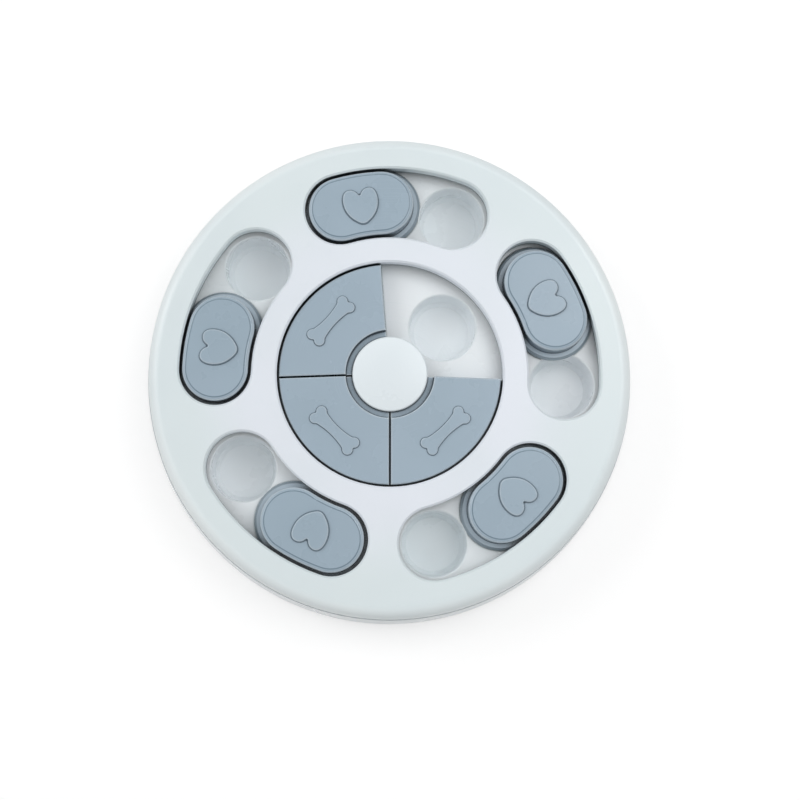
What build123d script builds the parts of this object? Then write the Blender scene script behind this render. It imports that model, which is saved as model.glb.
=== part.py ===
from build123d import *
import os
from math import cos, radians, sin, tan

# Sliding puzzle feeder for dogs: a round tray with treat wells, a cover with five curved slots,
# a slider in each slot, and three quarter sliders that circle a hub in the middle.
# Frame: origin on the floor under the centre, +Z up, +Y through the middle of the first slot.
# Lengths are millimetres, angles are degrees counter-clockwise from +X, seen from above.

# ---- Driving dimensions: from the hub outwards --------------------------------------------------
hub_post_radius = 14.0
inner_well_gap = 5.5       # from the hub post to the wells round it
inner_well_radius = 17.0
opening_margin = 3.1       # from those wells to the edge of the cover's middle opening
inner_band = 12.7          # cover between the opening and the slots
slot_half_width = 18.0
outer_band = 14.9          # cover between the slots and its outer wall
cover_lean = 1.6           # how far the cover's wall leans out, down to the seam
seam_step = 0.4            # from there out to the tray's rim
tray_lean = 2.8            # how far the tray's wall leans out, down to its foot

# ---- Driving dimensions: from the floor upwards -------------------------------------------------
foot_proud = 1.5           # tray's wall, above the floor
rib_foot = 4.2             # underside of the ribs and cups, above the floor
cup_floor = 2.2            # thickness under a well
well_depth = 17.6
seam_gap = 0.5             # shadow line between cover and tray
cover_height = 12.0        # from the deck to the top of the cover
quarter_drop = 2.0         # top of the quarter sliders, below the top of the cover
knob_proud = 0.8           # top of the knobs, above it

# ---- Driving dimensions: the tray ---------------------------------------------------------------
tray_wall = 2.4
tray_foot_edge = 1.0       # chamfer of the wall's foot
deck_thickness = 2.4
lip_wall = 2.0             # ring that centres the cover
lip_height = 3.4
rib_thickness = 1.8
ring_rib_gap = 5.4         # from the middle opening out to the ring rib

# ---- Driving dimensions: wells ------------------------------------------------------------------
well_radius = 16.5         # under the slots
well_draft = 3.0           # wall angle
well_wall = 1.8
well_floor_edge = 2.0      # sloped edge between wall and floor
well_lip = 0.6             # sloped edge of the mouth
inner_well_count = 4

# ---- Driving dimensions: the cover --------------------------------------------------------------
cover_edge = 6.0           # rounding of the outer edge
cover_thickness = 2.4
cover_wall = 2.8
slot_count = 5
slot_half_span = 19.03     # from the middle of a slot to the centre of its round end
slot_wall = 2.0            # collar that hangs round each slot
slot_edge = 0.9            # chamfer of the upper edge of slots and opening

# ---- Driving dimensions: the sliders ------------------------------------------------------------
slide_clearance = 0.3      # under a slider, and between it and its stops
lift_clearance = 0.7       # between a slider's skirt and the collar over it
skirt_thickness = 3.0
skirt_edge = 1.2
knob_gap = 1.6             # between a knob and the wall of its slot
knob_half_span = 6.75      # from the middle of a knob to the centre of its round end
knob_edge = 2.2
skirt_margin = 3.5         # skirt outside the knob
slider_wall = 2.0
end_play = 0.26            # what a slider stops short of concentric with its slot's end
slider_slack = {5: 2.4}    # sliders that rest short of their stops, and by what angle
heart_size = 18.2
heart_notch = 0.4          # rounding between the lobes
heart_tip = 4.0            # rounding of the tip
heart_rise = 1.4
heart_bevel = 0.8
heart_offset = 0.9         # from the middle of the track in to the heart

# ---- Driving dimensions: the quarter sliders and the hub ----------------------------------------
quarter_names = ("north_west", "south_west", "south_east")
quarter_pitch = 87.8       # angle that each takes up
quarter_lead = 360.0       # leading edge of the last one
quarter_side_gap = 0.45    # from a side to the radial line that it keeps clear of
quarter_gap = 1.1          # between a quarter's rounded side and the opening
quarter_flange = 3.4       # flange that runs under the cover, outside the opening
quarter_step_gap = 3.3     # from the hub cap out to the raised part
quarter_edge = 0.6
hub_post_wall = 2.6
hub_web = 2.4              # floor of the post, which the screw clamps
hub_lip_height = 5.7       # part of a quarter slider that runs under the cap
cap_overhang = 4.9         # hub cap, outside the post
cap_rim = 2.4              # height of the cap's straight rim
cap_dome = 1.6
cap_edge = 1.0
cap_thickness = 2.2
ring_gap = 1.0             # between the cap's centring ring and the floor of the post
bone_length = 28.2
bone_notch = 0.5           # rounding between the knuckles
bone_rise = 1.0
bone_bevel = 0.6
bone_offset = 3.3          # from the circle of the inner wells out to the bones

# ---- Driving dimensions: screws and feet --------------------------------------------------------
screw_inset = 9.4          # from the cover's wall in to the screws
screw_radius = 1.5
screw_head_radius = 3.0
screw_head_height = 2.0
screw_head_edge = 0.6
screw_length = 12.0
recess_width = 0.8         # cross recess in a screw's head
recess_length = 3.6
recess_depth = 1.2
screw_boss_radius = 5.0
screw_play = 0.3           # clearance hole and counterbore, outside the screw
screw_end_gap = 0.15       # between the hub's screw and the roof of the cap
pilot_play = 0.05          # pilot hole, outside the screw
pilot_end_gap = 1.0        # pilot hole, past the tip of the cover's screws
pillar_radius = 4.2
boss_floor = 6.0           # height of the shelf that a screw head pulls on, below the deck's top
foot_inset = 15.0          # from the foot of the tray's wall in to the middle of the feet
foot_radius = 6.0
foot_height = 7.0
foot_edge = 0.6
foot_socket_wall = 1.9
foot_play = 0.1

# ---- What follows from them: from the hub outwards ----------------------------------------------
inner_well_circle = hub_post_radius + inner_well_gap + inner_well_radius
opening_radius = inner_well_circle + inner_well_radius + opening_margin
ring_rib_radius = opening_radius + ring_rib_gap
track_radius = opening_radius + inner_band + slot_half_width
cover_radius = track_radius + slot_half_width + outer_band
cover_seam_radius = cover_radius + cover_lean
inner_wall = cover_radius - cover_wall
lip_radius = inner_wall - slide_clearance
tray_rim_radius = cover_seam_radius + seam_step
tray_radius = tray_rim_radius + tray_lean
screw_circle = inner_wall - screw_inset
foot_circle = tray_radius - foot_inset
cap_radius = hub_post_radius + cap_overhang
quarter_step_radius = cap_radius + quarter_step_gap
bone_circle = inner_well_circle + bone_offset
knob_half_width = slot_half_width - knob_gap
skirt_half_width = knob_half_width + skirt_margin

# ---- What follows from them: from the floor upwards ---------------------------------------------
well_floor = rib_foot + cup_floor
deck_height = well_floor + well_depth
screw_shelf = deck_height - boss_floor
slide_height = deck_height + slide_clearance
skirt_top = slide_height + skirt_thickness
collar_foot = skirt_top + lift_clearance
cover_seam = deck_height + seam_gap
cover_top = deck_height + cover_height
cover_ceiling = cover_top - cover_thickness
knob_top = cover_top + knob_proud
quarter_top = cover_top - quarter_drop
hub_floor = deck_height + hub_web
hub_post_top = slide_height + hub_lip_height + lift_clearance / 2
rim_top = hub_post_top + cap_rim
cap_ceiling = rim_top + cap_dome - cap_thickness
hub_screw_length = cap_ceiling - screw_end_gap - deck_height

# ---- What follows from them: round the axis, and in the wells -----------------------------------
slot_pitch = 360 / slot_count
first_slot = 90.0
slot_middles = [first_slot + slot_pitch * i for i in range(slot_count)]
between_slots = first_slot + slot_pitch / 2
first_inner_well = 180 / inner_well_count
slider_offset = slot_half_span - knob_half_span - end_play
well_wall_depth = well_depth - well_floor_edge
well_narrowing = well_wall_depth * tan(radians(well_draft))


def at(radius, angle):
    """Point on a circle about the toy's axis."""
    return (radius * cos(radians(angle)), radius * sin(radians(angle)))


def well_circles(growth):
    """Circles of all the wells, larger than their mouths by the growth given."""
    with BuildSketch() as outline:
        for side in (-1, 1):
            with PolarLocations(track_radius, slot_count, first_slot + side * slot_half_span):
                Circle(well_radius + growth)
        with PolarLocations(inner_well_circle, inner_well_count, first_inner_well):
            Circle(inner_well_radius + growth)
    return outline.sketch


def curved_slot(half_width, half_span, middle):
    """Curved slot about the track circle, with round ends."""
    low, high = middle - half_span, middle + half_span
    with BuildSketch() as outline:
        with BuildLine():
            CenterArc((0, 0), track_radius + half_width, low, high - low)
            CenterArc(at(track_radius, high), half_width, high, 180)
            CenterArc((0, 0), track_radius - half_width, low, high - low)
            CenterArc(at(track_radius, low), half_width, low + 180, 180)
        make_face()
    return outline.sketch


def quarter(inner, outer, middle, side_gap):
    """Ring sector whose straight sides keep a constant gap from their radial lines."""
    reach = 2 * outer
    half = quarter_pitch / 2
    tip = side_gap / sin(radians(half))
    with BuildSketch() as outline:
        Circle(outer)
        Circle(inner, mode=Mode.SUBTRACT)
        with Locations(at(tip, middle)):
            Polygon(
                (0, 0),
                at(reach, middle - half),
                at(reach * 1.5, middle),
                at(reach, middle + half),
                align=None,
                mode=Mode.INTERSECT,
            )
    return outline.sketch


def heart(size, upright):
    """Plump heart with a blunt tip, which points away from the angle upright."""
    crown = [(0, 0.27), (0.05, 0.42), (0.15, 0.49), (0.27, 0.49)]
    cheek = [(0.27, 0.49), (0.42, 0.49), (0.5, 0.35), (0.5, 0.15)]
    flank = [(0.5, 0.15), (0.5, -0.18), (0.3, -0.42), (0, -0.56)]
    with BuildSketch() as outline:
        with BuildLine() as half:
            for curve in (crown, cheek, flank):
                Bezier(*[(x * size, y * size) for x, y in curve])
            mirror(half.line, about=Plane.YZ)
        make_face()
        fillet(outline.vertices().sort_by(Axis.Y)[0], radius=heart_tip)
        fillet(outline.vertices().sort_by(lambda corner: abs(corner.X))[0], radius=heart_notch)
    return outline.sketch.rotate(Axis.Z, upright - 90)


def bone(length, along):
    """Bone with two knuckles at each end, lying along the angle given."""
    knuckle = 0.1 * length
    spread = 0.085 * length
    waist = 0.1 * length
    flare = 0.16 * length
    groin = 0.07 * length
    end = length / 2 - knuckle
    with BuildSketch() as outline:
        with BuildLine():
            ThreePointArc((-end, flare), (0, waist), (end, flare))
            Line((end, flare), (end, -flare))
            ThreePointArc((end, -flare), (0, -waist), (-end, -flare))
            Line((-end, -flare), (-end, flare))
        make_face()
        with Locations((end, spread), (end, -spread), (-end, spread), (-end, -spread)):
            Circle(knuckle)
        fillet(outline.vertices().filter_by(lambda corner: abs(corner.X) < end), radius=groin)
        fillet(outline.vertices().filter_by(lambda corner: abs(corner.Y) < spread / 2), radius=bone_notch)
    return outline.sketch.rotate(Axis.Z, along)


def screw(centre, seat, length):
    """Cross-recessed screw, driven upwards, whose head pulls against the height seat."""
    head_foot = seat - screw_head_height
    with BuildPart() as fastener:
        with BuildSketch(Plane(origin=(*centre, 0), x_dir=(1, 0, 0), z_dir=(0, -1, 0))):
            with BuildLine():
                Polyline(
                    (0, head_foot),
                    (screw_head_radius, head_foot),
                    (screw_head_radius, seat),
                    (screw_radius, seat),
                    (screw_radius, seat + length - screw_radius),
                    (0, seat + length),
                    close=True,
                )
            make_face()
        revolve(axis=Axis((*centre, 0), (0, 0, 1)))
        chamfer(fastener.faces().sort_by(Axis.Z)[0].edges(), length=screw_head_edge)
        with BuildSketch(Plane((*centre, head_foot))):
            Rectangle(recess_width, recess_length)
            Rectangle(recess_length, recess_width)
        extrude(amount=recess_depth, mode=Mode.SUBTRACT)
    return fastener


def foot(centre):
    """Rubber pad pressed into its socket under the tray."""
    with BuildPart() as pad:
        with BuildSketch(Plane((*centre, 0))):
            Circle(foot_radius)
        extrude(amount=foot_height)
        chamfer(pad.faces().sort_by(Axis.Z)[0].edges(), length=foot_edge)
    return pad


def outer_slider(middle):
    """Hollow knob on a wider skirt, with a raised heart, centred on the angle middle."""
    with BuildPart() as slider:
        with BuildSketch(Plane.XY.offset(slide_height)):
            add(curved_slot(skirt_half_width, knob_half_span, middle))
        extrude(amount=skirt_thickness)
        chamfer(slider.faces().sort_by(Axis.Z)[-1].edges(), length=skirt_edge)
        with BuildSketch(Plane.XY.offset(slide_height)):
            add(curved_slot(knob_half_width, knob_half_span, middle))
        extrude(amount=knob_top - slide_height)
        fillet(slider.faces().sort_by(Axis.Z)[-1].edges(), radius=knob_edge)
        with BuildSketch(Plane.XY.offset(slide_height)):
            add(curved_slot(knob_half_width - slider_wall, knob_half_span, middle))
        extrude(amount=knob_top - slider_wall - slide_height, mode=Mode.SUBTRACT)
        with BuildSketch(Plane.XY.offset(knob_top)):
            with Locations(at(track_radius - heart_offset, middle)):
                add(heart(heart_size, middle))
        extrude(amount=heart_rise)
        chamfer(slider.faces().sort_by(Axis.Z)[-1].outer_wire().edges(), length=heart_bevel)
    return slider


def quarter_slider(middle):
    """Hollow quarter of a ring with a flange under the cover, a lip under the cap and a bone."""
    hub_side = hub_post_radius + slide_clearance
    cover_side = opening_radius - quarter_gap
    hollow_gap = quarter_side_gap + slider_wall
    with BuildPart() as slider:
        with BuildSketch(Plane.XY.offset(slide_height)):
            add(quarter(hub_side, opening_radius + quarter_flange, middle, quarter_side_gap))
        extrude(amount=skirt_thickness)
        with BuildSketch(Plane.XY.offset(slide_height)):
            add(quarter(hub_side, cover_side, middle, quarter_side_gap))
        extrude(amount=hub_lip_height)
        with BuildSketch(Plane.XY.offset(slide_height)):
            add(quarter(quarter_step_radius, cover_side, middle, quarter_side_gap))
        extrude(amount=quarter_top - slide_height)
        chamfer(slider.faces().sort_by(Axis.Z)[-1].edges(), length=quarter_edge)
        with BuildSketch(Plane.XY.offset(slide_height)):
            add(quarter(quarter_step_radius + slider_wall, cover_side - slider_wall, middle, hollow_gap))
        extrude(amount=quarter_top - slider_wall - slide_height, mode=Mode.SUBTRACT)
        with BuildSketch(Plane.XY.offset(quarter_top)):
            with Locations(at(bone_circle, middle)):
                add(bone(bone_length, middle + 90))
        extrude(amount=bone_rise)
        chamfer(slider.faces().sort_by(Axis.Z)[-1].outer_wire().edges(), length=bone_bevel)
    return slider


# ---- Tray: outer wall, deck with wells, hub post, screw bosses, foot sockets and ribs ------------
with BuildPart() as base_tray:
    with BuildSketch(Plane.XZ):
        with BuildLine():
            Polyline(
                (0, deck_height),
                (lip_radius - lip_wall, deck_height),
                (lip_radius - lip_wall, deck_height + lip_height),
                (lip_radius, deck_height + lip_height),
                (lip_radius, deck_height),
                (tray_rim_radius, deck_height),
                (tray_radius, foot_proud),
                (tray_radius - tray_wall, foot_proud),
                (tray_rim_radius - tray_wall, deck_height - deck_thickness),
                (0, deck_height - deck_thickness),
                close=True,
            )
        make_face()
    revolve(axis=Axis.Z)
    wall_foot = base_tray.edges().filter_by(GeomType.CIRCLE).group_by(Axis.Z)[0]
    chamfer(wall_foot.sort_by(SortBy.RADIUS)[-1], length=tray_foot_edge)

    # Cups of the wells, as solid plugs that the wells are cut into
    cup_depth = deck_height - rib_foot
    with BuildSketch(Plane.XY.offset(deck_height)):
        add(well_circles(well_wall))
    extrude(amount=-cup_depth)

    # Ribs: one ring between the two circles of wells, and one web from it to the wall by each boss
    web_start = ring_rib_radius + rib_thickness / 2
    web_end = tray_rim_radius - tray_wall / 2
    with BuildSketch(Plane.XY.offset(rib_foot)):
        Circle(ring_rib_radius + rib_thickness / 2)
        Circle(ring_rib_radius - rib_thickness / 2, mode=Mode.SUBTRACT)
        with PolarLocations((web_start + web_end) / 2, slot_count, between_slots):
            Rectangle(web_end - web_start + rib_thickness / 2, rib_thickness)
    extrude(amount=deck_height - deck_thickness - rib_foot)

    # Screw bosses and foot sockets hang from the deck
    with BuildSketch(Plane.XY.offset(deck_height - deck_thickness)):
        with PolarLocations(screw_circle, slot_count, between_slots):
            Circle(screw_boss_radius)
        with PolarLocations(foot_circle, slot_count, first_slot):
            Circle(foot_radius + foot_play + foot_socket_wall)
        Circle(hub_post_radius)
    extrude(amount=rib_foot - deck_height + deck_thickness)

    # Hub post above the deck
    with BuildSketch(Plane.XY.offset(deck_height)):
        Circle(hub_post_radius)
    extrude(amount=hub_post_top - deck_height)
    with BuildSketch(Plane.XY.offset(hub_floor)):
        Circle(hub_post_radius - hub_post_wall)
    extrude(amount=hub_post_top - hub_floor, mode=Mode.SUBTRACT)

    # Wells: sloped lips, drafted walls and sloped edges round the floors
    with BuildSketch(Plane.XY.offset(deck_height)):
        add(well_circles(well_lip))
    extrude(amount=-well_lip, taper=45, mode=Mode.SUBTRACT)
    with BuildSketch(Plane.XY.offset(deck_height)):
        add(well_circles(0))
    extrude(amount=-well_wall_depth, taper=well_draft, mode=Mode.SUBTRACT)
    with BuildSketch(Plane.XY.offset(well_floor + well_floor_edge)):
        add(well_circles(-well_narrowing))
    extrude(amount=-well_floor_edge, taper=45, mode=Mode.SUBTRACT)

    # Holes in the bosses: a deep counterbore for each screw head, and a socket for each foot
    with BuildSketch(Plane.XY.offset(rib_foot)):
        with PolarLocations(screw_circle, slot_count, between_slots):
            Circle(screw_head_radius + screw_play)
    extrude(amount=screw_shelf - rib_foot, mode=Mode.SUBTRACT)
    with BuildSketch(Plane.XY.offset(rib_foot)):
        with PolarLocations(screw_circle, slot_count, between_slots):
            Circle(screw_radius + screw_play)
    extrude(amount=deck_height - rib_foot, mode=Mode.SUBTRACT)
    with BuildSketch(Plane.XY.offset(rib_foot)):
        with PolarLocations(foot_circle, slot_count, first_slot):
            Circle(foot_radius + foot_play)
    extrude(amount=foot_height - rib_foot, mode=Mode.SUBTRACT)
    with BuildSketch(Plane.XY.offset(foot_height)):
        with PolarLocations(foot_circle, slot_count, first_slot):
            Circle(foot_radius - foot_socket_wall)
    extrude(amount=deck_height - deck_thickness - foot_height, mode=Mode.SUBTRACT)

    # Hollow under the hub, and the hole for its screw
    with BuildSketch(Plane.XY.offset(rib_foot)):
        Circle(hub_post_radius - rib_thickness)
    extrude(amount=deck_height - rib_foot, mode=Mode.SUBTRACT)
    with BuildSketch(Plane.XY.offset(deck_height)):
        Circle(screw_radius + screw_play)
    extrude(amount=hub_web, mode=Mode.SUBTRACT)

# ---- Cover: rounded shell with a collar round each slot and round the middle opening -------------
with BuildPart() as top_cover:
    with BuildSketch(Plane.XZ) as shell_profile:
        with BuildLine():
            Polyline(
                (opening_radius, cover_top),
                (cover_radius, cover_top),
                (cover_seam_radius, cover_seam),
                (inner_wall, cover_seam),
                (inner_wall, cover_ceiling),
                (opening_radius + slot_wall, cover_ceiling),
                (opening_radius + slot_wall, collar_foot),
                (opening_radius, collar_foot),
                close=True,
            )
        make_face()
        fillet(shell_profile.vertices().group_by(Axis.Y)[-1].sort_by(Axis.X)[-1], radius=cover_edge)
    revolve(axis=Axis.Z)
    with BuildSketch(Plane.XY.offset(collar_foot)):
        for middle in slot_middles:
            add(curved_slot(slot_half_width + slot_wall, slot_half_span, middle))
    extrude(amount=cover_ceiling - collar_foot)
    with BuildSketch(Plane.XY.offset(collar_foot)):
        for middle in slot_middles:
            add(curved_slot(slot_half_width, slot_half_span, middle))
    extrude(amount=cover_top - collar_foot, mode=Mode.SUBTRACT)
    rims = top_cover.faces().filter_by(Plane.XY).sort_by(Axis.Z)[-1]
    chamfer([edge for wire in rims.inner_wires() for edge in wire.edges()], length=slot_edge)

    # Pillars that the screws pull on, each with a web across the shell
    web_height = cover_edge - cover_thickness
    with BuildSketch(Plane.XY.offset(deck_height)):
        with PolarLocations(screw_circle, slot_count, between_slots):
            Circle(pillar_radius)
    extrude(amount=cover_ceiling - deck_height)
    with BuildSketch(Plane.XY.offset(cover_ceiling - web_height)):
        with PolarLocations((opening_radius + slot_wall + inner_wall) / 2, slot_count, between_slots):
            Rectangle(inner_wall - opening_radius - slot_wall + rib_thickness / 2, rib_thickness)
    extrude(amount=web_height)
    with BuildSketch(Plane.XY.offset(deck_height)):
        with PolarLocations(screw_circle, slot_count, between_slots):
            Circle(screw_radius + pilot_play)
    extrude(amount=screw_length - boss_floor + pilot_end_gap, mode=Mode.SUBTRACT)

# ---- Hub cap: low dome with a ring that centres it in the post, and a screw pillar ----------------
with BuildPart() as hub_cap:
    dome_radius = (cap_radius**2 + cap_dome**2) / (2 * cap_dome)
    half_way = cap_radius / 2
    with BuildSketch(Plane.XZ) as cap_profile:
        with BuildLine():
            Polyline(
                (0, rim_top + cap_dome),
                (0, hub_post_top),
                (cap_radius, hub_post_top),
                (cap_radius, rim_top),
            )
            ThreePointArc(
                (cap_radius, rim_top),
                (half_way, rim_top + cap_dome - dome_radius + (dome_radius**2 - half_way**2) ** 0.5),
                (0, rim_top + cap_dome),
            )
        make_face()
        fillet(cap_profile.vertices().group_by(Axis.X)[-1].sort_by(Axis.Y)[-1], radius=cap_edge)
    revolve(axis=Axis.Z)
    ring_radius = hub_post_radius - hub_post_wall - pilot_play
    ring_foot = hub_floor + ring_gap
    with BuildSketch(Plane.XY.offset(ring_foot)):
        Circle(ring_radius)
    extrude(amount=hub_post_top - ring_foot)
    with BuildSketch(Plane.XY.offset(ring_foot)):
        Circle(ring_radius - rib_thickness)
    extrude(amount=cap_ceiling - ring_foot, mode=Mode.SUBTRACT)
    with BuildSketch(Plane.XY.offset(hub_floor)):
        Circle(pillar_radius)
        Circle(screw_radius + pilot_play, mode=Mode.SUBTRACT)
    extrude(amount=cap_ceiling - hub_floor)

# ---- Write one file for each piece ---------------------------------------------------------------
os.makedirs("parts", exist_ok=True)
base_tray.part.label = "base_tray"
export_step(base_tray.part, "parts/base_tray.step")
top_cover.part.label = "top_cover"
export_step(top_cover.part, "parts/top_cover.step")
hub_cap.part.label = "hub_cap"
export_step(hub_cap.part, "parts/hub_cap.step")

hub_screw = screw((0, 0), deck_height, hub_screw_length)
hub_screw.part.label = "hub_screw"
export_step(hub_screw.part, "parts/hub_screw.step")

for number, middle in enumerate(slot_middles, start=1):
    slider = outer_slider(middle + slider_offset - slider_slack.get(number, 0))
    slider.part.label = f"outer_slider_{number}"
    export_step(slider.part, f"parts/outer_slider_{number}.step")

    pad = foot(at(foot_circle, middle))
    pad.part.label = f"rubber_foot_{number}"
    export_step(pad.part, f"parts/rubber_foot_{number}.step")

    cover_screw = screw(at(screw_circle, middle + slot_pitch / 2), screw_shelf, screw_length)
    cover_screw.part.label = f"cover_screw_{number}"
    export_step(cover_screw.part, f"parts/cover_screw_{number}.step")

for place, name in enumerate(quarter_names):
    quarters_after = len(quarter_names) - place - 0.5
    slider = quarter_slider(quarter_lead - quarter_pitch * quarters_after)
    slider.part.label = f"quarter_slider_{name}"
    export_step(slider.part, f"parts/quarter_slider_{name}.step")
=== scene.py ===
"""Looks of a round sliding-puzzle feeder for dogs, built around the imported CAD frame.

Lengths are metres in the row frame: origin on the floor under the tray's centre, +Z up,
+Y through the middle of the first curved slot. Angles are degrees unless a name says otherwise.
Colours written with four parts are linear, and those given to srgb() are 8-bit.
"""

from collections import namedtuple
from math import cos, radians, sin

import bmesh
import bpy
from mathutils import Matrix, Vector


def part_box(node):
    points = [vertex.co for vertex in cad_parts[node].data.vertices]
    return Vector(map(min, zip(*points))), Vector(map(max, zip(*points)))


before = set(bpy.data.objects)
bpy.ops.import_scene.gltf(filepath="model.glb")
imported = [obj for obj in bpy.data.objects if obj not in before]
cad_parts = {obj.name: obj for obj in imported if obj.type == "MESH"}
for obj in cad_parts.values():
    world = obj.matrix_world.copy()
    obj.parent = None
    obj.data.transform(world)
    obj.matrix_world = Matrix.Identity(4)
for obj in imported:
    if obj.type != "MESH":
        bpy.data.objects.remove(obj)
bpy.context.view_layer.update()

SLOT_COUNT = 5
QUARTERS = ("north_west", "south_west", "south_east")

# ---- Heights read from the frame -----------------------------------------------------------------
cover_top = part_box("top_cover")[1].z
deck_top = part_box("outer_slider_1")[0].z
collar_foot = cover_top - 0.0080    # lower edge of the collars round the slots and the opening
skirt_top = deck_top + 0.0030       # flange of the outer sliders
knob_top = cover_top + 0.0008       # flat top of an outer slider's knob, round its heart
knob_bevel = knob_top - 0.0022      # where the knob's edge starts to round over
heart_crest = knob_top + 0.0010     # where the edge of its heart turns from painted shade to painted highlight
quarter_top = cover_top - 0.0020    # flat top of a quarter slider, round its bone
quarter_bevel = quarter_top - 0.0006
bone_crest = quarter_top + 0.0007

# Heights where a tint starts and where it is full: painted shade low on the collars, painted light
# on the flange, and painted shade lines by the deck
collar_shade = (collar_foot + 0.0028, collar_foot + 0.0008)
skirt_light = (skirt_top + 0.0004, skirt_top + 0.0002)
deck_shade_lines = (deck_top - 0.0015, deck_top - 0.0010)

# ---- Where tints show ----------------------------------------------------------------------------
# Distances from the toy's axis over which a tint changes
OUTER_CHANGE = (0.064, 0.106)       # the cover's outer tint comes in
RIM_CHANGE = (0.1145, 0.119)        # the painted light on its rounded rim comes in, and painted shade lines and gaps go out
HUB_CHANGE = (0.0230, 0.0245)       # the deep shade round the hub goes out

# Slopes in degrees from level, where a band starts, is full, starts to fade and ends
ROUND_SLOPES = (2, 5, 12, 20)       # where a flat top starts to round off, marked with a painted shade line
# bevels, given painted highlight or painted shade by height
BEVEL_SLOPES = (36, 44, 68, 82)
WALL_SLOPES = (72, 84, 91, 95)      # upright walls, which sit in the gaps and are given painted shade
LEVEL_FADE = 0.0002                 # height over which a bevel's tint fades

# Shares of open sky within reach, where a tint starts and where it is full
EDGE_SKY = (0.92, 0.45)             # seen from inside the skin, at an outer edge
LEDGE_SKY = (0.75, 0.57)
GAP_SKY = (0.40, 0.22)
CREASE_SHADE_FULL = 0.45                    # where the painted crease shade and shade lines are full
SKY_SAMPLES = 8
LINE_SAMPLES = 16                   # for the thin painted shade lines
EDGE_REACH = 0.0010                 # how far pale wear and painted highlight reach from an outer edge
LEDGE_REACH = 0.002                 # how far shade reaches over the ledge round the hub
GAP_REACH = 0.005                   # a gap narrower than this, and deep, is painted nearly black as painted shade

# ---- Tints and how much of each shows ------------------------------------------------------------
# Pale wear with painted highlight on outer edges, and the painted light on the flange
PALE_WEAR_AND_LIGHT = (0.78, 0.84, 0.88, 1.0)
# painted highlight on bevels
BEVEL_HIGHLIGHT = (0.56, 0.64, 0.70, 1.0)
GAP_SHADE = (0.007, 0.013, 0.021, 1.0)
# Shares of the painted highlight on bevels, the painted shade line where a top rounds off, the
# painted shade round hearts and bones, the painted light on the flange, and the painted shade by
# the hub and low on the collars
BEVEL_SHARE = 0.75
ROUND_SHARE = 0.85
OUTLINE_SHARE = 0.95                # painted shade round the foot of hearts and bones
SKIRT_SHARE = 0.22
HUB_SHARE = 0.9
COLLAR_SHARE = 0.9

# ---- Noise patterns, and the spans of values over which they set in ------------------------------
FLOW = {"scale": 9.0, "detail": 2.0, "distortion": 0.8}     # broad mottling of moulded plastic
FLOW_SPAN = (0.3, 0.75)
FLOW_SHARE = 0.5
SPECK = {"scale": 260.0, "detail": 2.0}
SPECK_SPAN = (0.62, 0.8)
SPECK_SHARE = 0.12
PEEL = {"scale": 420.0, "detail": 1.0}                      # orange peel
PEEL_DEPTH = 0.00001
SMUDGE = {"scale": 26.0, "detail": 4.0, "roughness": 0.6}
SMUDGE_SPAN = (0.35, 0.7)
SMUDGE_ROUGHNESS = (-0.05, 0.09)                            # added to the plastic's own
MARK_SCALE = 2600.0                                         # rings worn by sliding
MARK_DETAIL = 2.0
MARK_SPAN = (0.6, 0.7)
MARK_ROUGHNESS = 0.15
BREAKS = {"scale": 40.0, "detail": 2.0}                     # where such rings are broken off
BREAKS_SPAN = (0.5, 0.66)
PLASTIC_IOR = 1.49

SPOTS = {"scale": 900.0, "detail": 3.0}                     # dull spots of the zinc
SPOTS_SPAN = (0.4, 0.7)
SPOTS_GLOSS_SPAN = (0.35, 0.7)
STEEL_ROUGHNESS = (0.22, 0.42)
TURNING = {"scale": 1400.0, "detail": 1.0, "stretch": (0.15, 0.15, 6.0)}
TURNING_DEPTH = 0.00003

PEBBLE = {"scale": 1500.0, "detail": 2.0}
PEBBLE_SPAN = (0.3, 0.7)
PEBBLE_DEPTH = 0.00004
RUBBER_ROUGHNESS = (0.62, 0.8)
DUST = {"scale": 180.0, "detail": 4.0}
DUST_SPAN = (0.45, 0.75)
DUST_SHARE = 0.5

# ---- Light ---------------------------------------------------------------------------------------
WORLD_LEVELS = (0.38, 0.69)         # strength at the horizon and straight up
RING_LEVEL = 1.7                    # ring light overhead, seen in the gloss of rounded edges
RING_SIDES = (0.5, 1.6)             # its strength at -Y and at +Y, as shares of that
RING_SIDE_REACH = 0.5               # share of the Y axis in a direction at which those are reached
RING_ZENITH = (24, 30, 42, 50)      # angles from straight up between which it fades in, and out
LAMPS = (                           # name, place, width and power in watts
    ("key", (-1.9, 0.7, 1.5), 1.4, 14.7),
    ("fill", (0.42, 0.22, 0.85), 0.6, 2.1),
)
LAMP_TARGET = (0, 0, 0)
FLOOR_HALF_SIDE = 4.0
FLOOR_COLOUR = 0.62
FLOOR_ROUGHNESS = 0.9
FLOOR_GLOW = 0.47                   # added where the floor is seen, so it is white past the shadow
WHITE = (1, 1, 1, 1)

# ---- Camera: the photograph's viewpoint ----------------------------------------------------------
PHOTO_SIZE = 800                    # pixels each way
SENSOR_WIDTH = 36.0                 # millimetres
FOCAL_PIXELS = 1376.2               # focal length in pixels
TARGET_PIXEL = (390.1, 372.9)       # where the middle of the cover's top plane lies
CAMERA_DISTANCE = 0.686
CAMERA_TILT = 7.72                  # away from straight down
CAMERA_BEARING = -93.43             # direction from the toy's axis to the camera
CAMERA_CLIP = 0.01
TOY_TURN = 2.27                     # how far the toy's own axes are turned in the picture


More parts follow.
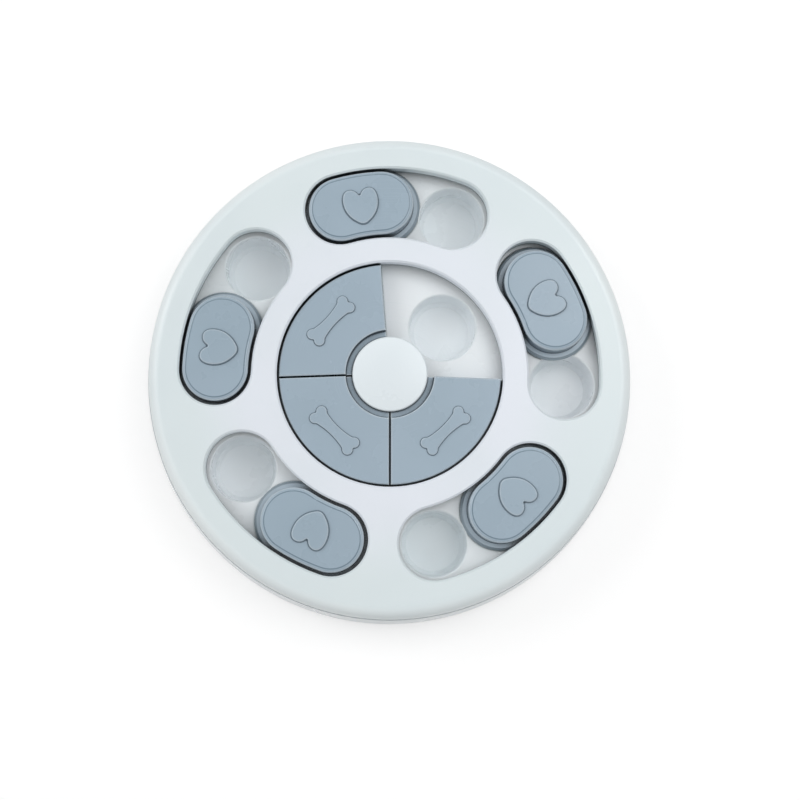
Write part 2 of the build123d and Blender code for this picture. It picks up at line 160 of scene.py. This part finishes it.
def make_camera():
    """Camera fitted to the round opening and the slot ends, aimed at the middle of the cover."""
    tilt = radians(CAMERA_TILT)
    bearing = radians(CAMERA_BEARING)
    back = Vector((sin(tilt) * cos(bearing), sin(tilt) * sin(bearing), cos(tilt)))
    picture_up = Vector((-sin(radians(TOY_TURN)), cos(radians(TOY_TURN)), 0))
    right = picture_up.cross(back).normalized()
    up = back.cross(right)
    data = bpy.data.cameras.new("camera")
    data.sensor_width = SENSOR_WIDTH
    data.lens = data.sensor_width * FOCAL_PIXELS / PHOTO_SIZE
    data.shift_x = (PHOTO_SIZE / 2 - TARGET_PIXEL[0]) / PHOTO_SIZE
    data.shift_y = (TARGET_PIXEL[1] - PHOTO_SIZE / 2) / PHOTO_SIZE
    data.clip_start = CAMERA_CLIP
    camera = bpy.data.objects.new("camera", data)
    bpy.context.collection.objects.link(camera)
    turn = Matrix((right, up, back)).transposed().to_4x4()
    place = Vector((0, 0, cover_top)) + back * CAMERA_DISTANCE
    camera.matrix_world = Matrix.Translation(place) @ turn
    bpy.context.scene.camera = camera


# ---- Builders for node trees ---------------------------------------------------------------------
MIX_COLOURS = (6, 7)                # the colour sockets among a Mix node's inputs
MIX_RESULT = 2                      # and among its outputs


def srgb(red, green, blue):
    """Linear colour of an 8-bit sRGB colour."""
    channels = [value / 255 for value in (red, green, blue)]
    return (*[c / 12.92 if c <= 0.04045 else ((c + 0.055) / 1.055) ** 2.4 for c in channels], 1.0)


class Nodes:
    """Builder for one node tree."""

    def __init__(self, tree):
        self.tree = tree

    def add(self, kind, **settings):
        node = self.tree.nodes.new(kind)
        for key, value in settings.items():
            setattr(node, key, value)
        return node

    def link(self, output, socket):
        self.tree.links.new(output, socket)

    def ramp(self, value, low, high, low_out=0.0, high_out=1.0, smooth=True):
        """value, carried from the range low..high to low_out..high_out."""
        node = self.add("ShaderNodeMapRange")
        if smooth:
            node.interpolation_type = "SMOOTHSTEP"
        node.inputs["From Min"].default_value = low
        node.inputs["From Max"].default_value = high
        node.inputs["To Min"].default_value = low_out
        node.inputs["To Max"].default_value = high_out
        self.link(value, node.inputs["Value"])
        return node.outputs["Result"]

    def math(self, operation, first, second):
        node = self.add("ShaderNodeMath", operation=operation)
        for socket, value in zip(node.inputs, (first, second)):
            if isinstance(value, (int, float)):
                socket.default_value = value
            else:
                self.link(value, socket)
        return node.outputs["Value"]

    def times(self, first, second):
        return self.math("MULTIPLY", first, second)

    def mix(self, share, first, second):
        """Colour between first and second; each may be a colour or an output."""
        node = self.add("ShaderNodeMix", data_type="RGBA")
        self.link(share, node.inputs["Factor"])
        for number, value in zip(MIX_COLOURS, (first, second)):
            if isinstance(value, tuple):
                node.inputs[number].default_value = value
            else:
                self.link(value, node.inputs[number])
        return node.outputs[MIX_RESULT]


class SurfaceNodes(Nodes):
    """Builder for a new material's tree, with patterns and masks for its surface."""

    def __init__(self, name):
        self.material = bpy.data.materials.new(name)
        self.material.use_nodes = True
        super().__init__(self.material.node_tree)
        self.shader = self.tree.nodes["Principled BSDF"]
        self.place = self.add("ShaderNodeTexCoord").outputs["Object"]

    def noise(self, scale, detail, roughness=0.5, distortion=0.0, stretch=None):
        """Noise as a number from 0 to 1."""
        node = self.add("ShaderNodeTexNoise")
        node.inputs["Scale"].default_value = scale
        node.inputs["Detail"].default_value = detail
        node.inputs["Roughness"].default_value = roughness
        node.inputs["Distortion"].default_value = distortion
        source = self.place
        if stretch:
            mapping = self.add("ShaderNodeMapping")
            mapping.inputs["Scale"].default_value = stretch
            self.link(self.place, mapping.inputs["Vector"])
            source = mapping.outputs["Vector"]
        self.link(source, node.inputs["Vector"])
        return node.outputs["Fac"]

    def bump(self, height, distance, under=None):
        node = self.add("ShaderNodeBump")
        node.inputs["Strength"].default_value = 1.0
        node.inputs["Distance"].default_value = distance
        self.link(height, node.inputs["Height"])
        if under is not None:
            self.link(under, node.inputs["Normal"])
        return node.outputs["Normal"]

    def axis_distance(self):
        """Distance from the toy's axis."""
        flat = self.add("ShaderNodeVectorMath", operation="MULTIPLY")
        flat.inputs[1].default_value = (1, 1, 0)
        self.link(self.place, flat.inputs[0])
        length = self.add("ShaderNodeVectorMath", operation="LENGTH")
        self.link(flat.outputs["Vector"], length.inputs[0])
        return length.outputs["Value"]

    def height(self):
        """Height over the floor that the toy stands on."""
        parts = self.add("ShaderNodeSeparateXYZ")
        self.link(self.place, parts.inputs["Vector"])
        return parts.outputs["Z"]

    def slope_band(self, start, full, fade, end):
        """1 where the surface slopes between full and fade degrees, 0 beyond start and end."""
        parts = self.add("ShaderNodeSeparateXYZ")
        self.link(self.add("ShaderNodeTexCoord").outputs["Normal"], parts.inputs["Vector"])
        start, full, fade, end = [cos(radians(slope)) for slope in (start, full, fade, end)]
        rising = self.ramp(parts.outputs["Z"], full, start, 1.0, 0.0)
        return self.times(rising, self.ramp(parts.outputs["Z"], end, fade))

    def near(self, reach, sky, inside=False, samples=SKY_SAMPLES):
        """0 in the open and 1 deep in a crease; inside the skin, 1 on a sharp outer edge.

        sky holds the shares of open sky within reach where it starts and where it is full.
        """
        node = self.add("ShaderNodeAmbientOcclusion", inside=inside, samples=samples)
        node.inputs["Distance"].default_value = reach
        return self.ramp(node.outputs["AO"], *sky)


# ---- Materials -----------------------------------------------------------------------------------
# Painted shade in a crease: its colour, how far it reaches, and the share of open sky below which
# it shows
CreaseShade = namedtuple("CreaseShade", "colour reach sky")


def mottled(nodes, colour, shade, outer, rim_light):
    """The colour, mottled and specked with the shade, and with its outer tint and the painted light
    on its rim, if any.
    """
    flow = nodes.noise(**FLOW)
    speck = nodes.noise(**SPECK)
    if outer:
        distance = nodes.axis_distance()
        colour = nodes.mix(nodes.ramp(distance, *OUTER_CHANGE), colour, outer)
        colour = nodes.mix(nodes.ramp(distance, *RIM_CHANGE), colour, rim_light)
    tint = nodes.mix(nodes.ramp(flow, *FLOW_SPAN, 0.0, FLOW_SHARE), colour, shade)
    return nodes.mix(nodes.ramp(speck, *SPECK_SPAN, 0.0, SPECK_SHARE), tint, shade)


def slide_marks(nodes):
    """Fine rings about the axis, broken up along the way, from pieces that slide round it."""
    radius = nodes.axis_distance()
    rings = nodes.add("ShaderNodeTexNoise", noise_dimensions="1D")
    rings.inputs["Scale"].default_value = MARK_SCALE
    rings.inputs["Detail"].default_value = MARK_DETAIL
    nodes.link(radius, rings.inputs["W"])
    breaks = nodes.ramp(nodes.noise(**BREAKS), *BREAKS_SPAN)
    return nodes.times(nodes.ramp(rings.outputs["Fac"], *MARK_SPAN), breaks)


def shade_bevels(nodes, tint, crease_shade, low, high, crest):
    """Sloped edges: painted highlight from low to high and above crest, and painted shade at other
    heights.

    A fine painted shade line follows where a flat top starts to round off.
    """
    height = nodes.height()
    above = nodes.ramp(height, low, low + LEVEL_FADE)
    level = nodes.times(above, nodes.ramp(height, high + LEVEL_FADE, high))
    crested = nodes.ramp(height, crest - LEVEL_FADE / 2, crest + LEVEL_FADE / 2)
    level = nodes.math("MAXIMUM", level, crested)
    sloped = nodes.slope_band(*BEVEL_SLOPES)
    lit_bevels = nodes.times(level, sloped)
    shaded_bevels = nodes.math("SUBTRACT", sloped, lit_bevels)
    tint = nodes.mix(nodes.times(lit_bevels, BEVEL_SHARE), tint, BEVEL_HIGHLIGHT)
    tint = nodes.mix(nodes.times(nodes.slope_band(*ROUND_SLOPES), ROUND_SHARE), tint, crease_shade)
    return nodes.mix(nodes.times(shaded_bevels, OUTLINE_SHARE), tint, crease_shade)


def shade_walls(nodes, tint, shade_line, share):
    """Upright walls in painted shade. Next to the hub they are darkest, with the ledge that they
    stand on.
    """
    upright = nodes.slope_band(*WALL_SLOPES)
    tint = nodes.mix(nodes.times(upright, share), tint, shade_line)
    inner = nodes.ramp(nodes.axis_distance(), *HUB_CHANGE, HUB_SHARE, 0.0)
    upright = nodes.math("MAXIMUM", upright, nodes.near(LEDGE_REACH, LEDGE_SKY))
    return nodes.mix(nodes.times(upright, inner), tint, GAP_SHADE)


def shade_creases(nodes, tint, crease_shade, shade_line, foot, lines_from):
    """Painted shade and thin painted shade lines in creases, and gaps painted nearly black.

    foot holds the heights where the painted shade low on the collars starts and is full, and
    lines_from those of the lines. All but the broad crease shade stops short of the rim, its wall
    and the seam below it.
    """
    within = nodes.ramp(nodes.axis_distance(), *reversed(RIM_CHANGE))
    if foot:
        low = nodes.ramp(nodes.height(), *foot, 0.0, COLLAR_SHARE)
        tint = nodes.mix(nodes.times(low, within), tint, shade_line.colour)
    # Painted shade in creases, thin painted shade lines, and gaps painted nearly black
    tint = nodes.mix(nodes.near(crease_shade.reach, (crease_shade.sky, CREASE_SHADE_FULL)), tint, crease_shade.colour)
    lined = nodes.near(shade_line.reach, (shade_line.sky, CREASE_SHADE_FULL), samples=LINE_SAMPLES)
    lined = nodes.times(lined, within)
    if lines_from:
        lined = nodes.times(lined, nodes.ramp(nodes.height(), *lines_from))
    tint = nodes.mix(lined, tint, shade_line.colour)
    gap = nodes.times(nodes.near(GAP_REACH, GAP_SKY), within)
    return nodes.mix(gap, tint, GAP_SHADE)


def moulded_plastic(
    name, colour, shade, crease_shade, shade_line, roughness, wear_and_highlight, marks=0.0,
    outer=None, rim_light=None, foot=None, bevels=None, wall_shade=0.0, skirt=None, lines_from=None,
):
    """Injection-moulded plastic: mottling, orange peel, slide marks, pale worn edges with painted
    highlight, painted light and shade.

    The shares of the pale wear and painted highlight on edges, of the slide marks and of the
    painted shade on walls are given by name.
    foot, skirt and lines_from are pairs of heights where the painted shade on the collars, the
    painted light on the flange and the painted shade lines start and are full, and bevels holds the
    heights for shade_bevels.
    """
    nodes = SurfaceNodes(name)
    tint = mottled(nodes, colour, shade, outer, rim_light)
    peel = nodes.noise(**PEEL)
    glossy, dull = [roughness + change for change in SMUDGE_ROUGHNESS]
    gloss = nodes.ramp(nodes.noise(**SMUDGE), *SMUDGE_SPAN, glossy, dull)
    normal = nodes.bump(peel, PEEL_DEPTH)
    if marks:
        lines = slide_marks(nodes)
        tint = nodes.mix(nodes.times(lines, marks), tint, shade)
        gloss = nodes.math("ADD", gloss, nodes.times(lines, MARK_ROUGHNESS))
        normal = nodes.bump(lines, -PEEL_DEPTH, under=normal)
    # Painted highlight and painted shade on bevels
    if bevels:
        tint = shade_bevels(nodes, tint, crease_shade.colour, *bevels)
    # Pale wear with painted highlight on outer edges
    worn_highlit_edges = nodes.times(nodes.near(EDGE_REACH, EDGE_SKY, inside=True), wear_and_highlight)
    tint = nodes.mix(worn_highlit_edges, tint, PALE_WEAR_AND_LIGHT)
    if skirt:
        # The low flange is painted paler: painted light where it lies low in shade
        tint = nodes.mix(nodes.ramp(nodes.height(), *skirt, 0.0, SKIRT_SHARE), tint, PALE_WEAR_AND_LIGHT)
    # Painted shade on upright walls, darkest by the hub with its ledge
    if wall_shade:
        tint = shade_walls(nodes, tint, shade_line.colour, wall_shade)
    # Painted shade in creases and gaps, and low on the collars
    tint = shade_creases(nodes, tint, crease_shade, shade_line, foot, lines_from)
    nodes.link(tint, nodes.shader.inputs["Base Color"])
    nodes.link(gloss, nodes.shader.inputs["Roughness"])
    nodes.link(normal, nodes.shader.inputs["Normal"])
    nodes.shader.inputs["IOR"].default_value = PLASTIC_IOR
    return nodes.material


def zinc_steel():
    """Zinc-plated screw: bright blue-grey metal with turning marks and dull spots."""
    nodes = SurfaceNodes("screw_steel")
    spots = nodes.noise(**SPOTS)
    turning = nodes.noise(**TURNING)
    tint = nodes.mix(nodes.ramp(spots, *SPOTS_SPAN), srgb(196, 200, 205), srgb(168, 170, 168))
    gloss = nodes.ramp(spots, *SPOTS_GLOSS_SPAN, *STEEL_ROUGHNESS)
    nodes.link(tint, nodes.shader.inputs["Base Color"])
    nodes.link(gloss, nodes.shader.inputs["Roughness"])
    nodes.link(nodes.bump(turning, TURNING_DEPTH), nodes.shader.inputs["Normal"])
    nodes.shader.inputs["Metallic"].default_value = 1.0
    return nodes.material


def grey_rubber():
    """Moulded rubber: matt, faintly pebbled, with patches of dust."""
    nodes = SurfaceNodes("foot_rubber")
    pebble = nodes.noise(**PEBBLE)
    dust = nodes.ramp(nodes.noise(**DUST), *DUST_SPAN, 0.0, DUST_SHARE)
    tint = nodes.mix(dust, srgb(122, 130, 136), srgb(158, 160, 158))
    gloss = nodes.ramp(pebble, *PEBBLE_SPAN, *RUBBER_ROUGHNESS)
    nodes.link(tint, nodes.shader.inputs["Base Color"])
    nodes.link(gloss, nodes.shader.inputs["Roughness"])
    nodes.link(nodes.bump(pebble, PEBBLE_DEPTH), nodes.shader.inputs["Normal"])
    return nodes.material


def paint(material, *node_names):
    for name in node_names:
        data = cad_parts[name].data
        data.materials.clear()
        data.materials.append(material)


def numbered(stem):
    """Names of the nodes that come once for each slot."""
    return [f"{stem}_{number}" for number in range(1, SLOT_COUNT + 1)]


def dress_nodes():
    """Gives each node of the frame its material."""
    # Colours of the painted shade in creases and of the thin painted shade lines
    pale_crease_shade = CreaseShade(srgb(150, 164, 166), reach=0.002, sky=0.8)
    pale_shade_line = CreaseShade(srgb(74, 88, 92), reach=0.002, sky=0.76)
    deck_shade_line = CreaseShade(srgb(110, 124, 128), reach=0.0040, sky=0.6)
    blue_crease_shade = CreaseShade(srgb(98, 118, 132), reach=0.0012, sky=0.7)
    blue_shade_line = CreaseShade(srgb(36, 50, 62), reach=0.0011, sky=0.84)
    # The cover is slightly greener away from its middle, and painted palest on its rounded rim as
    # painted light
    cover = moulded_plastic(
        "cover_plastic", srgb(233, 238, 246), srgb(217, 228, 232), pale_crease_shade, pale_shade_line,
        roughness=0.36, wear_and_highlight=0.5,
        outer=srgb(225, 235, 237), rim_light=srgb(236, 243, 244), foot=collar_shade,
    )
    tray = moulded_plastic(
        "tray_plastic", srgb(241, 245, 248), srgb(226, 236, 238), pale_crease_shade, deck_shade_line,
        roughness=0.3, wear_and_highlight=0.3, marks=0.4, lines_from=deck_shade_lines,
    )
    cap = moulded_plastic(
        "cap_plastic", srgb(232, 240, 244), srgb(224, 235, 240), pale_crease_shade, pale_shade_line,
        roughness=0.3, wear_and_highlight=0.3,
    )
    slider = moulded_plastic(
        "slider_plastic", srgb(158, 176, 190), srgb(149, 169, 182), blue_crease_shade, blue_shade_line,
        roughness=0.27, wear_and_highlight=0.75, marks=0.2,
        bevels=(knob_bevel, knob_top, heart_crest), wall_shade=0.5, skirt=skirt_light,
    )
    quarter = moulded_plastic(
        "quarter_plastic", srgb(160, 178, 192), srgb(151, 170, 183), blue_crease_shade, blue_shade_line,
        roughness=0.27, wear_and_highlight=0.65, marks=0.3,
        bevels=(quarter_bevel, quarter_top, bone_crest), wall_shade=0.4,
    )
    paint(cover, "top_cover")
    paint(tray, "base_tray")
    paint(cap, "hub_cap")
    paint(slider, *numbered("outer_slider"))
    paint(quarter, *[f"quarter_slider_{name}" for name in QUARTERS])
    paint(zinc_steel(), "hub_screw", *numbered("cover_screw"))
    paint(grey_rubber(), *numbered("rubber_foot"))


# ---- Studio --------------------------------------------------------------------------------------
def area_light(name, place, width, power):
    """Round lamp, turned towards the toy."""
    data = bpy.data.lights.new(name, "AREA")
    data.shape = "DISK"
    data.size = width
    data.energy = power
    light = bpy.data.objects.new(name, data)
    bpy.context.collection.objects.link(light)
    light.location = place
    aim = Vector(LAMP_TARGET) - Vector(place)
    light.rotation_euler = aim.to_track_quat("-Z", "Y").to_euler()


def sky_direction(nodes, axis):
    """Share of the axis in the direction looked in: for Z, the sine of its elevation."""
    direction = nodes.add("ShaderNodeSeparateXYZ")
    generated = nodes.add("ShaderNodeTexCoord").outputs["Generated"]
    nodes.link(generated, direction.inputs["Vector"])
    return direction.outputs[axis]


def overhead_ring(nodes):
    """Strength of the ring light in the direction looked in, for glossy rays alone."""
    height = sky_direction(nodes, "Z")
    fade_in, full_in, full_out, fade_out = [cos(radians(angle)) for angle in RING_ZENITH]
    inner = nodes.ramp(height, fade_in, full_in)
    ring = nodes.times(inner, nodes.ramp(height, fade_out, full_out))
    glossy = nodes.add("ShaderNodeLightPath").outputs["Is Glossy Ray"]
    levels = [side * RING_LEVEL for side in RING_SIDES]
    across = sky_direction(nodes, "Y")
    level = nodes.ramp(across, -RING_SIDE_REACH, RING_SIDE_REACH, *levels)
    return nodes.times(nodes.times(ring, glossy), level)


def seen_directly(nodes):
    """1 for rays that show the background: from the camera, mirrored or let through."""
    path = nodes.add("ShaderNodeLightPath")
    seen = nodes.math("MAXIMUM", path.outputs["Is Camera Ray"], path.outputs["Is Glossy Ray"])
    return nodes.math("MAXIMUM", seen, path.outputs["Is Transmission Ray"])


def make_sky(scene):
    """World that lights softly, shows as white, and holds the ring light."""
    world = bpy.data.worlds.new("studio")
    world.use_nodes = True
    air = Nodes(world.node_tree)
    background = world.node_tree.nodes["Background"]
    background.inputs["Color"].default_value = WHITE
    seen = seen_directly(air)
    unseen = air.math("SUBTRACT", 1.0, seen)
    soft = air.ramp(sky_direction(air, "Z"), 0.0, 1.0, *WORLD_LEVELS, smooth=False)
    level = air.math("ADD", seen, air.times(unseen, soft))
    air.link(air.math("ADD", level, overhead_ring(air)), background.inputs["Strength"])
    scene.world = world


def make_floor():
    """Paper floor that keeps the toy's shadow and is white past it."""
    mesh = bpy.data.meshes.new("floor")
    shape = bmesh.new()
    bmesh.ops.create_grid(shape, x_segments=1, y_segments=1, size=FLOOR_HALF_SIDE)
    shape.to_mesh(mesh)
    shape.free()
    floor = bpy.data.objects.new("floor", mesh)
    bpy.context.collection.objects.link(floor)
    nodes = SurfaceNodes("floor_paper")
    nodes.shader.inputs["Base Color"].default_value = (*[FLOOR_COLOUR] * 3, 1)
    nodes.shader.inputs["Roughness"].default_value = FLOOR_ROUGHNESS
    nodes.shader.inputs["Emission Color"].default_value = WHITE
    glow = nodes.times(seen_directly(nodes), FLOOR_GLOW)
    nodes.link(glow, nodes.shader.inputs["Emission Strength"])
    mesh.materials.append(nodes.material)


def make_stage():
    """White studio: a soft sky, a key lamp on the left, a small fill overhead, and the floor."""
    scene = bpy.context.scene
    scene.view_settings.view_transform = "Standard"
    make_sky(scene)
    for lamp in LAMPS:
        area_light(*lamp)
    make_floor()


make_camera()
make_stage()
dress_nodes()
